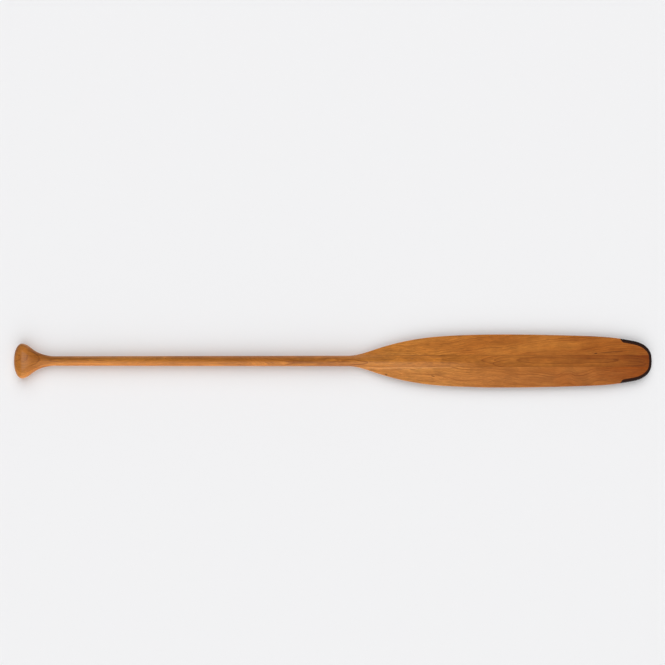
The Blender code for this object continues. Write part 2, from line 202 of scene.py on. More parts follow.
def way_in(x, y, batch=4000, least_room=0.3):
    """Shortest way in from the paddle's edge: the depth below the nearest edge point, less half its
    curvature times the square of the offset along the edge, over the room that the curvature leaves."""
    points = np.column_stack([np.ravel(x), np.abs(np.ravel(y))])
    depth = np.empty(len(points))
    for part in np.array_split(np.arange(len(points)), len(points) // batch + 1):
        here = points[part]
        apart = ((here[:, None, :] - edge_points[None, :, :]) ** 2).sum(axis=2)
        k = apart.argmin(axis=1)
        offset = here - edge_points[k]
        below = (offset * edge_inward[k]).sum(axis=1)
        aside = (offset ** 2).sum(axis=1) - below ** 2
        room = np.maximum(1.0 - edge_bend[k] * below, least_room)
        depth[part] = below - edge_bend[k] * aside / (2 * room)
    return np.maximum(depth, 0.0).reshape(np.shape(x))


BLADE_THICKNESS = 0.0075
TIP_THICKNESS = 0.006
TIP_TAPER_LENGTH = 0.100
EDGE_THICKNESS = 0.0048
LENS_RUN = 0.040
SPINE_LENGTH = 0.400
SPINE_FULL_DEPTH_RUN = 0.050
SPINE_WIDTH_AT_THROAT = 0.044
SPINE_WIDTH_AT_END = 0.030
SPINE_LIMIT_POWER = 6
SPINE_FADE_START_POWER = 1.5
SPINE_FADE_END_POWER = 3
OVAL_POWER = 0.5
SPINE_SIDE_POWER = 2.0
THROAT_BLEND = 0.060

GRIP_END_DEPTH = 0.028
BULB_FROM_END = 0.022
NECK_FROM_END = 0.075
NECK_DEPTH = 0.022
SHAFT_DEPTH_FROM_END = 0.180
LOBE_DROP = 0.002
LOBE_RUN = 0.018
GRIP_EDGE_RADIUS = 0.0065
FAN_BLEND = 0.055

CREASE_ANGLE = math.radians(40)


def rounding(distance, radius):
    """Height share of a quarter-round edge at a distance in from it."""
    return np.sqrt(1.0 - np.clip(1.0 - distance / radius, 0.0, 1.0) ** 2)


def shaft_half_depth(x):
    """Half the shaft's depth, which grows from the grip to the full stock at the throat."""
    start = GRIP_END + SHAFT_DEPTH_FROM_END
    along = ease((x - start) / (THROAT - start))
    return (SHAFT_DEPTH_AT_GRIP + (STOCK_THICKNESS - SHAFT_DEPTH_AT_GRIP) * along) / 2


def spine_half_width(x):
    """Half the spine's width: the outline's at the throat, then held under a limit that narrows down the
    blade."""
    down = ease((x - THROAT) / SPINE_LENGTH)
    limit = (SPINE_WIDTH_AT_THROAT + (SPINE_WIDTH_AT_END - SPINE_WIDTH_AT_THROAT) * down) / 2
    width = half_width(x)
    held = width * (1.0 + (width / limit) ** SPINE_LIMIT_POWER) ** (-1.0 / SPINE_LIMIT_POWER)
    return np.maximum(width + (held - width) * ease((x - THROAT) / THROAT_BLEND), HAIR)


def blade_half_depth(x, y, distance):
    """Half the depth of throat and blade: a thin plate with a lens-shaped run to its rounded edge, and on it
    the spine, whose height is the shaft's times one less the spine's share of its length, to a power."""
    past = x - THROAT
    blade = ease(past / THROAT_BLEND)
    tip = 1.0 - ease((BLADE_TIP - x) / TIP_TAPER_LENGTH)
    centre = (BLADE_THICKNESS + (TIP_THICKNESS - BLADE_THICKNESS) * tip) / 2
    edge = EDGE_THICKNESS / 2
    plate = (edge + (centre - edge) * ease(distance / LENS_RUN)) * rounding(distance, edge)
    run = np.clip((past - SPINE_FULL_DEPTH_RUN) / (SPINE_LENGTH - SPINE_FULL_DEPTH_RUN), 0.0, 1.0)
    fade = (1.0 - run ** SPINE_FADE_START_POWER) ** SPINE_FADE_END_POWER
    ridge = (shaft_half_depth(x) - centre * blade) * fade
    across = np.clip(1.0 - (y / spine_half_width(x)) ** 2, 0.0, 1.0)
    return plate * blade + ridge * across ** (OVAL_POWER + (SPINE_SIDE_POWER - OVAL_POWER) * blade)


def grip_half_depth(x, distance):
    """Half the depth of the palm grip: end, bulb, neck and shaft in turn on the centre line, dropped a
    little towards the lobes' edge, and rounded over by a radius that shrinks from the shaft's half width."""
    from_end = x - GRIP_END
    depth = GRIP_END_DEPTH + (STOCK_THICKNESS - GRIP_END_DEPTH) * ease(from_end / BULB_FROM_END)
    neck = ease((from_end - BULB_FROM_END) / (NECK_FROM_END - BULB_FROM_END))
    shaft = ease((from_end - NECK_FROM_END) / (SHAFT_DEPTH_FROM_END - NECK_FROM_END))
    depth = depth + (NECK_DEPTH - STOCK_THICKNESS) * neck + (SHAFT_DEPTH_AT_GRIP - NECK_DEPTH) * shaft
    fan = ease((GRIP_JOIN - x) / FAN_BLEND)
    width = half_width(x)
    radius = width + (GRIP_EDGE_RADIUS - width) * fan
    drop = LOBE_DROP * fan * (1.0 - ease(distance / LOBE_RUN))
    return (depth / 2 - drop) * rounding(distance, np.maximum(radius, HAIR))


def half_depth(x, y):
    """Half the paddle's depth at a place in plan: the grip's up to the middle of the shaft, the blade's
    beyond it, and nothing on the very edge."""
    distance = way_in(x, y)
    middle = (GRIP_JOIN + THROAT) / 2
    depth = np.where(x < middle, grip_half_depth(x, distance), blade_half_depth(x, y, distance))
    return np.where(distance < HAIR, 0.0, depth)


def carved_piece(name, x, y):
    """A closed piece over a grid of places in plan. Each place is raised by the paddle's half depth for the
    upper face and lowered by it for the lower face, and walls join the two faces round the grid's rim."""
    rows, columns = x.shape
    depth = half_depth(x, y)
    upper = np.stack([x, y, MID_HEIGHT + depth], axis=2).reshape(-1, 3)
    lower = np.stack([x, y, MID_HEIGHT - depth], axis=2).reshape(-1, 3)
    place = np.arange(rows * columns).reshape(rows, columns)
    quads = np.stack([place[:-1, :-1], place[1:, :-1], place[1:, 1:], place[:-1, 1:]], axis=2).reshape(-1, 4)
    rim = np.concatenate([place[0, :-1], place[:-1, -1], place[-1, :0:-1], place[:0:-1, 0]])
    after = np.roll(rim, -1)
    below = rows * columns
    walls = np.column_stack([rim, after, after + below, rim + below])
    faces = np.concatenate([quads, quads[:, ::-1] + below, walls])
    data = bpy.data.meshes.new(name)
    data.from_pydata(np.concatenate([upper, lower]).tolist(), [], faces.tolist())
    mesh = bmesh.new()
    mesh.from_mesh(data)
    bmesh.ops.remove_doubles(mesh, verts=mesh.verts, dist=HAIR)
    bmesh.ops.dissolve_degenerate(mesh, edges=mesh.edges, dist=HAIR / 10)
    bmesh.ops.recalc_face_normals(mesh, faces=mesh.faces)
    mesh.to_mesh(data)
    mesh.free()
    data.shade_smooth()
    data.set_sharp_from_angle(angle=CREASE_ANGLE)
    piece = bpy.data.objects.new(name, data)
    bpy.context.scene.collection.objects.link(piece)
    return piece


GUARD_REACH = 0.076
GUARD_SIDE_WIDTH = 0.0085
GUARD_TIP_WIDTH = 0.0066
GUARD_HOOK = 0.0105


def guard_band(steps=60):
    """The guard's outer edge from one hook round the tip to the other, and the wood's edge inside it. The
    band between them is as wide as the side and tip widths give for its direction. Along each hook it opens
    as one less the square of what is left of the hook."""
    turn = np.linspace(0.0, math.pi / 2, steps)
    hook_end = BLADE_TIP - GUARD_REACH + GUARD_HOOK
    hook = np.linspace(BLADE_TIP - GUARD_REACH, hook_end, steps)
    side = np.linspace(hook_end, BLADE_TIP - TIP_ROUND_LENGTH, steps)
    tip = BLADE_TIP - TIP_ROUND_LENGTH * np.cos(turn)
    x = np.concatenate([hook, side[1:], tip[1:]])
    half = np.column_stack([x, half_width(x)])
    outer = np.concatenate([half, half[::-1][1:] * (1.0, -1.0)])
    along = np.gradient(outer, axis=0)
    outward = np.column_stack([-along[:, 1], along[:, 0]]) / np.linalg.norm(along, axis=1)[:, None]
    width = np.hypot(GUARD_SIDE_WIDTH * outward[:, 1], GUARD_TIP_WIDTH * outward[:, 0])
    opened = np.clip((outer[:, 0] - BLADE_TIP + GUARD_REACH) / GUARD_HOOK, 0.0, 1.0)
    width = width * (1.0 - (1.0 - opened) ** 2)
    return outer, outer - outward * width[:, None]


guard_outer, wood_edge = guard_band()


def wood_half_width(x):
    """Half the width of the wooden core: the outline's, or the wood's edge inside the guard."""
    half = len(wood_edge) // 2 + 1
    inside = np.interp(x, wood_edge[:half, 0], wood_edge[:half, 1])
    return np.where(x < BLADE_TIP - GUARD_REACH, half_width(x), inside)


THROAT_RUN = 0.100
END_CURVE_RUN = 0.060


def stave_places(columns=45, end_rows=15, grip_rows=70, shaft_rows=120, throat_rows=90, spine_rows=100,
                 tip_rows=80):
    """Rows from the grip's end curve to the wood's end inside the guard. Across them the places follow the
    sine of an even turn, out to the stave's edge or to the shaft's where that is narrower. Near both ends
    the rows take the curve of the end, which is read off the edge points and off the wood's edge."""
    turn = np.linspace(0.0, math.pi / 2, end_rows)
    wood_tip = wood_edge[:, 0].max()
    spans = [
        GRIP_END + GRIP_EDGE_RADIUS * (1 - np.cos(turn)),
        np.linspace(GRIP_END + GRIP_EDGE_RADIUS, GRIP_JOIN, grip_rows),
        np.linspace(GRIP_JOIN, THROAT, shaft_rows),
        np.linspace(THROAT, THROAT + THROAT_RUN, throat_rows),
        np.linspace(THROAT + THROAT_RUN, THROAT + SPINE_LENGTH, spine_rows),
        np.linspace(THROAT + SPINE_LENGTH, wood_tip, tip_rows),
    ]
    row = np.unique(np.concatenate(spans))[:, None]
    across = np.sin(np.linspace(-math.pi / 2, math.pi / 2, columns))[None, :]
    y = np.minimum(STAVE_HALF, half_width(np.maximum(row, GRIP_END + GRIP_ROUND_LENGTH))) * across
    end = edge_points[:END_STEPS * 2 // 3]
    end_curve = np.interp(np.abs(y), end[:, 1], end[:, 0]) - GRIP_END
    tip = wood_edge[len(wood_edge) // 4:len(wood_edge) // 2 + 1]
    tip_curve = wood_tip - np.interp(np.abs(y), tip[::-1, 1], tip[::-1, 0])
    near_grip = 1.0 - ease((row - GRIP_END) / END_CURVE_RUN)
    near_tip = 1.0 - ease((wood_tip - row) / END_CURVE_RUN)
    return row + end_curve * near_grip - tip_curve * near_tip, y


def shader_node(tree, kind, inputs=None, **settings):
    """A shader node with its settings, whose inputs are linked to sockets or set to values."""
    made = tree.nodes.new("ShaderNode" + kind)
    for key, value in settings.items():
        setattr(made, key, value)
    for slot, value in (inputs or {}).items():
        if isinstance(value, bpy.types.NodeSocket):
            tree.links.new(value, made.inputs[slot])
        else:
            made.inputs[slot].default_value = value
    return made


def smooth_range(tree, value, low, high, to_low=0.0, to_high=1.0):
    """The value's place between two limits, smoothed and held to the range that it is moved to."""
    inputs = {"Value": value, "From Min": low, "From Max": high, "To Min": to_low, "To Max": to_high}
    return shader_node(tree, "MapRange", inputs, interpolation_type="SMOOTHSTEP").outputs[0]


# Each noise's grains to the metre along, across and up, its detail, its roughness and its own shift
WOOD_NOISES = {
    "slow sway": ((9.0, 11.0, 11.0), 1.0, 0.4, 1.0),
    "quick sway": ((34.0, 40.0, 40.0), 2.0, 0.5, 2.0),
    "strength": ((9.0, 50.0, 50.0), 2.0, 0.5, 3.0),
    "drift": ((7.0, 32.0, 32.0), 2.0, 0.5, 4.0),
    "fibre": ((15.0, 560.0, 560.0), 3.0, 0.6, 5.0),
    "fleck": ((70.0, 700.0, 700.0), 3.0, 0.65, 6.0),
    # Painted sheen: patches across the grain that make the colour lighter or darker, for the shimmer of
    # figured cherry
    "painted_sheen": ((30.0, 44.0, 44.0), 3.0, 0.6, 7.0),
    "pores": ((120.0, 2600.0, 2600.0), 1.0, 0.5, 8.0),
    "glue": ((5.0, 1.0, 1.0), 1.0, 0.5, 9.0),
    "brush": ((60.0, 160.0, 160.0), 1.0, 0.5, 10.0),
}
# The limits between which each of these noises counts, and the range that it is moved to
STRENGTH_RANGE = (0.36, 0.60, 0.42, 1.0)
DRIFT_RANGE = (0.34, 0.66, -0.13, 0.13)
FIBRE_RANGE = (0.30, 0.70, 0.82, 1.18)
FLECK_RANGE = (0.30, 0.70, 0.80, 1.20)
# Painted sheen: the next range makes the colour lighter or darker in patches across the grain
PAINTED_SHEEN_RANGE = (0.30, 0.70, 0.91, 1.09)
PORE_RANGE = (0.60, 0.74, 1.0, 0.80)
GLUE_RANGE = (0.35, 0.65, 0.10, 0.40)

# A growth layer runs from 0 to 1, pale early wood first and dark late line last. The line's colour is shares
# of the deep tone's red, green and blue.
LAYER_WIDTH_GRAINS = 0.4
LAYER_WIDTH_SWING = 2.2
FAINTEST_LAYER = 0.25
EARLY_WOOD_END = 0.35
EARLY_WOOD_PALE = 0.14
LATE_LINE = (0.74, 0.93)
LATE_LINE_DARK = 0.65
LINE_SHARES = (0.50, 0.36, 0.32)

# An arch wavers, fades in between two distances from its line, and ends between two shares of its length
ARCH_WOBBLE = 0.006
ARCH_EDGES = (0.0020, 0.0002)
ARCH_ENDS = (1.3, 0.6)

# Fine strokes are weaker at the grip and at the tip, and full between these places
PLAIN_STROKES = 0.6
PLAIN_TO_FULL_FROM_GRIP = (-0.30, 0.05)
PLAIN_TO_FULL_FROM_TIP = (0.50, 0.25)

# A gum mark fades in between two shares of its half width
GUM_COLOUR = (0.050, 0.012, 0.004)
GUM_EDGES = (1.4, 0.5)

# A glue line fades in between two distances from the joint
GLUE_COLOUR = (0.11, 0.030, 0.006)
GLUE_EDGES = (0.0009, 0.0001)
GLUE_DARKER = 0.40
GLUE_DARKER_FROM = (0.10, 0.16)
GLUE_DARKER_TO = (0.42, 0.32)
LEFT_OF_MIDDLE = (0.0, 0.001)

VARNISH = {"Roughness": 0.5, "Specular IOR Level": 0.15, "Coat Weight": 0.28, "Coat Roughness": 0.22}
RELIEF = 0.0003
FIBRE_RELIEF = 0.30
BRUSH_RELIEF = 0.12


class Board:
    """One board's cherry as a material in the making. It knows each point's place along, across and up, how
    far that is aside of and above the middle of the trunk, which follows a smooth line, and how much the
    grain sways there: a slow and a quick noise about nought, each times its own size."""

    def __init__(self, name, trunk, slow_sway, quick_sway, start):
        self.material = bpy.data.materials.new(name)
        self.material.use_nodes = True
        self.tree = self.material.node_tree
        self.start = start
        self.place = self.node("TexCoord").outputs["Object"]
        self.along, self.across, self.up = self.node("SeparateXYZ", {0: self.place}).outputs
        slow = self.sums("SUBTRACT", self.noise(self.place, "slow sway"), 0.5)
        self.quick = self.sums("SUBTRACT", self.noise(self.place, "quick sway"), 0.5)
        self.sway = self.sums("MULTIPLY_ADD", self.quick, quick_sway, self.sums("MULTIPLY", slow, slow_sway))
        self.aside = self.sums("SUBTRACT", self.across, self.drawn_line([(x, y) for x, y, z in trunk]))
        self.above = self.sums("SUBTRACT", self.up, self.drawn_line([(x, z) for x, y, z in trunk]))

    def node(self, kind, inputs=None, **settings):
        """A node in this board's tree."""
        return shader_node(self.tree, kind, inputs, **settings)

    def sums(self, operation, first, second=0.0, third=0.0, clamp=False):
        """One step of arithmetic."""
        inputs = {0: first, 1: second, 2: third}
        return self.node("Math", inputs, operation=operation, use_clamp=clamp).outputs[0]

    def vector(self, x, y, z=0.0):
        """A vector of three parts."""
        return self.node("CombineXYZ", {0: x, 1: y, 2: z}).outputs[0]

    def length(self, vector):
        """A vector's length."""
        return self.node("VectorMath", {0: vector}, operation="LENGTH").outputs["Value"]

    def spread(self, value, *limits):
        """A smooth range in this board's tree."""
        return smooth_range(self.tree, value, *limits)

    def mix(self, share, first, second):
        """Two colours mixed by a share."""
        first, second = ((*part, 1.0) if isinstance(part, tuple) else part for part in (first, second))
        return self.node("Mix", {0: share, 6: first, 7: second}, data_type="RGBA").outputs[2]

    def noise(self, where, name):
        """A named noise about one half. Each board has a start of its own, so that no two are alike."""
        grains, detail, rough, shift = WOOD_NOISES[name]
        moved = {"Vector": where, "Location": (self.start + shift, shift, 2.0 * shift), "Scale": grains}
        mapped = self.node("Mapping", moved).outputs[0]
        inputs = {"Vector": mapped, "Scale": 1.0, "Detail": detail, "Roughness": rough}
        return self.node("TexNoise", inputs).outputs["Fac"]

    def drawn_line(self, points, margin=0.01):
        """A smooth line through values given at places along the board."""
        x, y = np.array(points).T
        low = y.min() - margin
        high = y.max() + margin
        share = self.node("MapRange", {"Value": self.along, "From Min": x[0], "From Max": x[-1]}).outputs[0]
        curve = self.node("FloatCurve", {"Value": share})
        knots = np.column_stack([(x - x[0]) / (x[-1] - x[0]), (y - low) / (high - low)])
        line = curve.mapping.curves[0]
        line.points[0].location = knots[0]
        line.points[1].location = knots[-1]
        for knot in knots[1:-1]:
            line.points.new(*knot)
        curve.mapping.update()
        return self.sums("MULTIPLY_ADD", curve.outputs[0], high - low, low)

    def on_figure(self, where, x, y, length, breadth, turn=0.0):
        """A place as seen from a figure's own place, turned with it, in shares of its length and breadth."""
        inputs = {"Vector": where, "Location": (x, y, 0.0), "Scale": (length, breadth, 1.0)}
        inputs["Rotation"] = (0.0, 0.0, math.radians(turn))
        return self.node("Mapping", inputs, vector_type="TEXTURE").outputs[0]

    def growth_layers(self, heart, stretch, reach, gap):
        """How dark the late wood and how pale the early wood is. A growth layer's number is the distance
        from the trunk's middle plus the sway, over the gap between layers, plus a noise in that number,
        which makes layers of uneven width. In the distance, the run from the heart's place counts only a
        stretch-th part, up to a reach. Each layer darkens towards its end by a strength of its own that
        comes and goes along the board, and starts again paler."""
        run = self.sums("SUBTRACT", self.along, heart)
        held = self.sums("MAXIMUM", self.sums("MINIMUM", run, reach), -reach)
        from_trunk = self.length(self.vector(self.sums("DIVIDE", held, stretch), self.aside, self.above))
        even = self.sums("DIVIDE", self.sums("ADD", from_trunk, self.sway), gap)
        uneven = {"W": even, "Scale": LAYER_WIDTH_GRAINS, "Detail": 1.0}
        width = self.node("TexNoise", uneven, noise_dimensions="1D").outputs["Fac"]
        layers = self.sums("MULTIPLY_ADD", width, LAYER_WIDTH_SWING, even)
        through = self.sums("FRACT", layers)
        own = self.node("TexWhiteNoise", {"W": self.sums("FLOOR", layers)}, noise_dimensions="1D")
        strength = self.sums("MULTIPLY_ADD", own.outputs["Value"], 1.0 - FAINTEST_LAYER, FAINTEST_LAYER)
        here = self.spread(self.noise(self.place, "strength"), *STRENGTH_RANGE)
        marked = self.sums("MULTIPLY", strength, here)
        shade = self.spread(through, EARLY_WOOD_END, LATE_LINE[1], 0.0, 1.0 - LATE_LINE_DARK)
        late = self.sums("MULTIPLY_ADD", self.spread(through, *LATE_LINE), LATE_LINE_DARK, shade)
        late = self.sums("MULTIPLY", late, self.spread(through, 1.0, LATE_LINE[1]))
        early = self.spread(through, EARLY_WOOD_END, 0.0)
        return self.sums("MULTIPLY", late, marked), self.sums("MULTIPLY", early, marked)

    def drawn_arches(self, arches):
        """How dark the arches are where the carving cuts a layer. With p the run from an arch's top over its
        length and q the offset over its half breadth, the arch lies where p is the square of q. The distance
        from it is the difference of the two over the steepness of that difference."""
        beside = self.vector(self.along, self.sums("MULTIPLY_ADD", self.quick, ARCH_WOBBLE, self.across))
        dark = 0.0
        for x, y, length, half_breadth, strength in arches:
            figure = self.on_figure(beside, x, y, length, half_breadth)
            parts = self.node("SeparateXYZ", {0: figure}).outputs
            p, q = parts["X"], parts["Y"]
            off = self.sums("ABSOLUTE", self.sums("SUBTRACT", p, self.sums("MULTIPLY", q, q)))
            steep = self.length(self.vector(1.0 / length, self.sums("MULTIPLY", q, 2.0 / half_breadth)))
            line = self.spread(self.sums("DIVIDE", off, steep), *ARCH_EDGES)
            faded = self.spread(p, *ARCH_ENDS, 0.0, strength)
            dark = self.sums("MAXIMUM", dark, self.sums("MULTIPLY", line, faded))
        return dark

    def strokes(self):
        """The fibres, and the light of all the fine strokes that follow the grain: fibres times flecks, made
            plainer away from the throat, times a painted sheen, which is lighter and darker patches across
            the grain for the shimmer of figured cherry, times pores."""
        flow = self.vector(self.along, self.sums("ADD", self.aside, self.sway), self.up)
        fibre = self.spread(self.noise(flow, "fibre"), *FIBRE_RANGE)
        fleck = self.spread(self.noise(flow, "fleck"), *FLECK_RANGE)
        # Painted sheen: lighter and darker patches across the grain, for the shimmer of figured cherry
        painted_sheen = self.spread(self.noise(flow, "painted_sheen"), *PAINTED_SHEEN_RANGE)
        pores = self.spread(self.noise(flow, "pores"), *PORE_RANGE)
        from_grip = self.spread(self.along, *PLAIN_TO_FULL_FROM_GRIP, PLAIN_STROKES, 1.0)
        from_tip = self.spread(self.along, *PLAIN_TO_FULL_FROM_TIP, PLAIN_STROKES, 1.0)
        marks = self.sums("SUBTRACT", self.sums("MULTIPLY", fibre, fleck), 1.0)
        marks = self.sums("MULTIPLY_ADD", marks, self.sums("MULTIPLY", from_grip, from_tip), 1.0)
        return fibre, self.sums("MULTIPLY", marks, self.sums("MULTIPLY", painted_sheen, pores))

    def gum_marks(self, marks):
        """How dark the gum marks are: soft ovals, each with its place, length, width, turn and strength."""
        dark = 0.0
        for x, y, length, width, turn, strength in marks:
            away = self.length(self.on_figure(self.place, x, y, length / 2, width / 2, turn))
            dark = self.sums("MAXIMUM", dark, self.spread(away, *GUM_EDGES, 0.0, strength))
        return dark

    def glue_lines(self):
        """How dark the glue lines are at the stave's two edges. They come and go along the board, and the
        left one is darker on the upper blade."""
        from_middle = self.sums("ABSOLUTE", self.across)
        from_edge = self.sums("ABSOLUTE", self.sums("SUBTRACT", from_middle, STAVE_HALF))
        seen = self.spread(self.noise(self.place, "glue"), *GLUE_RANGE)
        below_throat = self.spread(self.along, *GLUE_DARKER_FROM)
        upper_blade = self.sums("MULTIPLY", below_throat, self.spread(self.along, *GLUE_DARKER_TO))
        darker = self.sums("MULTIPLY", upper_blade, self.spread(self.across, *LEFT_OF_MIDDLE))
        seen = self.sums("MULTIPLY_ADD", darker, GLUE_DARKER, seen)
        return self.sums("MULTIPLY", self.spread(from_edge, *GLUE_EDGES), seen)

    def varnish(self, colour, fibre):
        """Clear varnish over the colour. The fibres stand up a little, and brush marks ripple the coat."""
        shader = self.tree.nodes["Principled BSDF"]
        self.tree.links.new(colour, shader.inputs["Base Color"])
        for socket, value in VARNISH.items():
            shader.inputs[socket].default_value = value
        brush = self.noise(self.place, "brush")
        reliefs = (("Normal", fibre, FIBRE_RELIEF), ("Coat Normal", brush, BRUSH_RELIEF))
        for socket, height, relief in reliefs:
            bump = self.node("Bump", {"Height": height, "Strength": relief, "Distance": RELIEF})
            self.tree.links.new(bump.outputs[0], shader.inputs[socket])


def varnished_cherry(name, pale, deep, tone, trunk, heart, stretch, reach, gap, slow_sway, quick_sway, bold,
                     start, arches=(), marks=()):
    """Cherry under clear varnish. The tone follows its own line along the board from pale to deep, with a
    drift. Growth layers as bold as is asked, arches, fine strokes with a painted sheen, gum marks and the
    glue lines lie over it in turn."""
    board = Board(name, trunk, slow_sway, quick_sway, start)
    late, early = board.growth_layers(heart, stretch, reach, gap)
    drift = board.spread(board.noise(board.place, "drift"), *DRIFT_RANGE)
    colour = board.mix(board.sums("ADD", board.drawn_line(tone), drift, clamp=True), pale, deep)
    line_colour = tuple(part * share for part, share in zip(deep, LINE_SHARES))
    colour = board.mix(board.sums("MULTIPLY", late, bold), colour, line_colour)
    if arches:
        colour = board.mix(board.drawn_arches(arches), colour, line_colour)
    fibre, light = board.strokes()
    light = board.sums("MULTIPLY", light, board.sums("MULTIPLY_ADD", early, EARLY_WOOD_PALE, 1.0))
    colour = board.node("VectorMath", {0: colour, "Scale": light}, operation="SCALE").outputs[0]
    if marks:
        colour = board.mix(board.gum_marks(marks), colour, GUM_COLOUR)
    colour = board.mix(board.glue_lines(), colour, GLUE_COLOUR)
    board.varnish(colour, fibre)
    return board.material


# The trunk's middle along, across and up
STAVE_TRUNK = [
    (-0.762, 0.010, 0.1035),
    (-0.738, 0.010, 0.1050),
    (-0.687, 0.010, 0.1027),
    (-0.640, 0.011, 0.1050),
    (-0.520, 0.014, 0.1050),
    (-0.400, 0.045, 0.0850),
    (-0.270, 0.050, 0.0300),
    (-0.160, 0.016, 0.0100),
    (-0.080, 0.002, 0.0084),
    (0.020, -0.003, 0.0082),
    (0.100, -0.002, 0.0090),
    (0.300, 0.001, 0.0039),
    (0.762, 0.001, 0.0039),
]
# How deep the tone is at places along the board
STAVE_TONE = [
    (-0.762, 0.20),
    (-0.735, 0.32),
    (-0.690, 0.42),
    (-0.640, 0.20),
    (-0.500, 0.18),
    (-0.300, 0.30),
    (0.000, 0.34),
    (0.045, 0.30),
    (0.090, 0.10),
    (0.200, 0.26),
    (0.280, 0.27),
    (0.360, 0.42),
    (0.500, 0.55),
    (0.620, 0.70),
    (0.762, 1.00),
]
# Each arch's top along and across, its length (less than nought towards -X), half breadth and strength
GRIP_ARCHES = [
    (-0.7001, 0.0055, -0.026, 0.0195, 0.45),
    (-0.7433, 0.0090, -0.018, 0.0110, 0.28),
]
STAVE_ARCHES = [
    (-0.6743, 0.0017, 0.028, 0.0045, 0.40),
    (0.0817, -0.0035, -0.045, 0.0070, 0.60),
    (0.3826, -0.0064, 0.035, 0.0093, 0.40),
    (0.7460, -0.0070, -0.065, 0.0100, 0.35),
]

stave = carved_piece("stave", *stave_places())
stave.data.materials.append(varnished_cherry(
    "stave cherry",
    pale=(0.535, 0.201, 0.0325),
    deep=(0.205, 0.037, 0.0025),
    tone=STAVE_TONE,
    trunk=STAVE_TRUNK,
    heart=0.554,
    stretch=12.4,
    reach=0.26,
    gap=0.0024,
    slow_sway=0.003,
    quick_sway=0.002,
    bold=0.62,
    start=0.0,
    arches=GRIP_ARCHES + STAVE_ARCHES,
))
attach(stave, "root")
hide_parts("centre_stave")


# Blade wings
# Two boards of straighter-grained cherry, glued to the stave's edges from the throat to the tip. They are
# carved with it to a thin lens with a rounded edge, and the tip guard closes their ends.

GLUE_GAP = 0.00005
THROAT_ROW_POWER = 1.3


def wing_places(columns=41, samples=20001, throat_rows=90, side_rows=150, hook_rows=24, tip_rows=50):
    """Rows of places across a wing, from the glue line out to the wood's edge, closer together towards the
    edge as the square of what is left. Rows bunch up at the throat, as a power of an even step, and where
    the edge turns into the guard's hook."""
    inner = STAVE_HALF + GLUE_GAP
    along = np.linspace(THROAT, BLADE_TIP, samples)
    wide = along[wood_half_width(along) > inner]
    hook = BLADE_TIP - GUARD_REACH
    hook_end = hook + GUARD_HOOK
    spans = [
        wide[0] + THROAT_RUN * np.linspace(0.0, 1.0, throat_rows) ** THROAT_ROW_POWER,
        np.linspace(wide[0] + THROAT_RUN, hook, side_rows),
        np.linspace(hook, hook_end, hook_rows),
        hook_end + (wide[-1] - hook_end) * np.sin(np.linspace(0.0, math.pi / 2, tip_rows)),
    ]
    row = np.unique(np.concatenate(spans))[:, None]
    left = np.linspace(1.0, 0.0, columns)[None, :] ** 2
    outer = np.maximum(wood_half_width(row), inner)
    return np.broadcast_to(row, (len(row), columns)), outer - (outer - inner) * left


# The trunk's middle along and across, at one height
WING_TRUNK_HEIGHT = -0.1
LEFT_TRUNK = [
    (0.050, -0.281),
    (0.130, -0.281),
    (0.210, -0.276),
    (0.260, -0.272),
    (0.310, -0.265),
    (0.375, -0.256),
    (0.440, -0.247),
    (0.515, -0.240),
    (0.567, -0.235),
    (0.625, -0.230),
    (0.695, -0.223),
    (0.762, -0.218),
]
RIGHT_TRUNK = [
    (0.050, 0.285),
    (0.130, 0.283),
    (0.180, 0.281),
    (0.260, 0.277),
    (0.320, 0.270),
    (0.400, 0.269),
    (0.475, 0.261),
    (0.530, 0.257),
    (0.562, 0.264),
    (0.586, 0.257),
    (0.650, 0.262),
    (0.762, 0.261),
]
LEFT_TONE = [
    (0.050, 0.30),
    (0.130, 0.26),
    (0.300, 0.46),
    (0.450, 0.57),
    (0.600, 0.63),
    (0.762, 0.92),
]
RIGHT_TONE = [
    (0.050, 0.15),
    (0.130, 0.12),
    (0.250, 0.20),
    (0.350, 0.32),
    (0.500, 0.52),
    (0.650, 0.75),
    (0.762, 1.00),
]
# Each gum mark's place along and across, its length, width, turn in degrees and strength
LEFT_MARKS = [
    (0.6276, 0.0183, 0.009, 0.0026, 12.0, 0.85),
    (0.6656, 0.0215, 0.085, 0.0020, 4.6, 0.60),
]
RIGHT_MARKS = [
    (0.1267, -0.0322, 0.006, 0.0026, -8.0, 0.85),
    (0.2389, -0.0363, 0.010, 0.0022, -14.0, 0.80),
    (0.1912, -0.0197, 0.016, 0.0012, -3.0, 0.60),
]
WING_LAYERS = {"heart": 0.30, "stretch": 12.0, "reach": 0.60, "gap": 0.0085}

wing_x, wing_y = wing_places()
wing_left = carved_piece("wing_left", wing_x, wing_y)
wing_right = carved_piece("wing_right", wing_x, -wing_y)
wing_left.data.materials.append(varnished_cherry(
    "left wing cherry",
    pale=(0.59, 0.232, 0.041),
    deep=(0.29, 0.064, 0.005),
    tone=LEFT_TONE,
    trunk=[(x, y, WING_TRUNK_HEIGHT) for x, y in LEFT_TRUNK],
    slow_sway=0.022,
    quick_sway=0.006,
    bold=0.80,
    start=20.0,
    marks=LEFT_MARKS,
    **WING_LAYERS,
))
wing_right.data.materials.append(varnished_cherry(
    "right wing cherry",
    pale=(0.59, 0.240, 0.055),
    deep=(0.29, 0.062, 0.004),
    tone=RIGHT_TONE,
    trunk=[(x, y, WING_TRUNK_HEIGHT) for x, y in RIGHT_TRUNK],
    slow_sway=0.028,
    quick_sway=0.007,
    bold=0.84,
    start=40.0,
    marks=RIGHT_MARKS,
    **WING_LAYERS,
))
for wing, node in ((wing_left, "blade_wing_left"), (wing_right, "blade_wing_right")):
    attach(wing, "root")
    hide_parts(node)


# Grip cheeks
# Two short blocks of cherry, glued beside the stave so that the grip can be wider than one board. They are
# carved with its end to the fan that fills the palm.

PROFILE_REACH = 0.014
PROFILE_FOOT = 0.020
PROFILE_CLEAR = 0.9


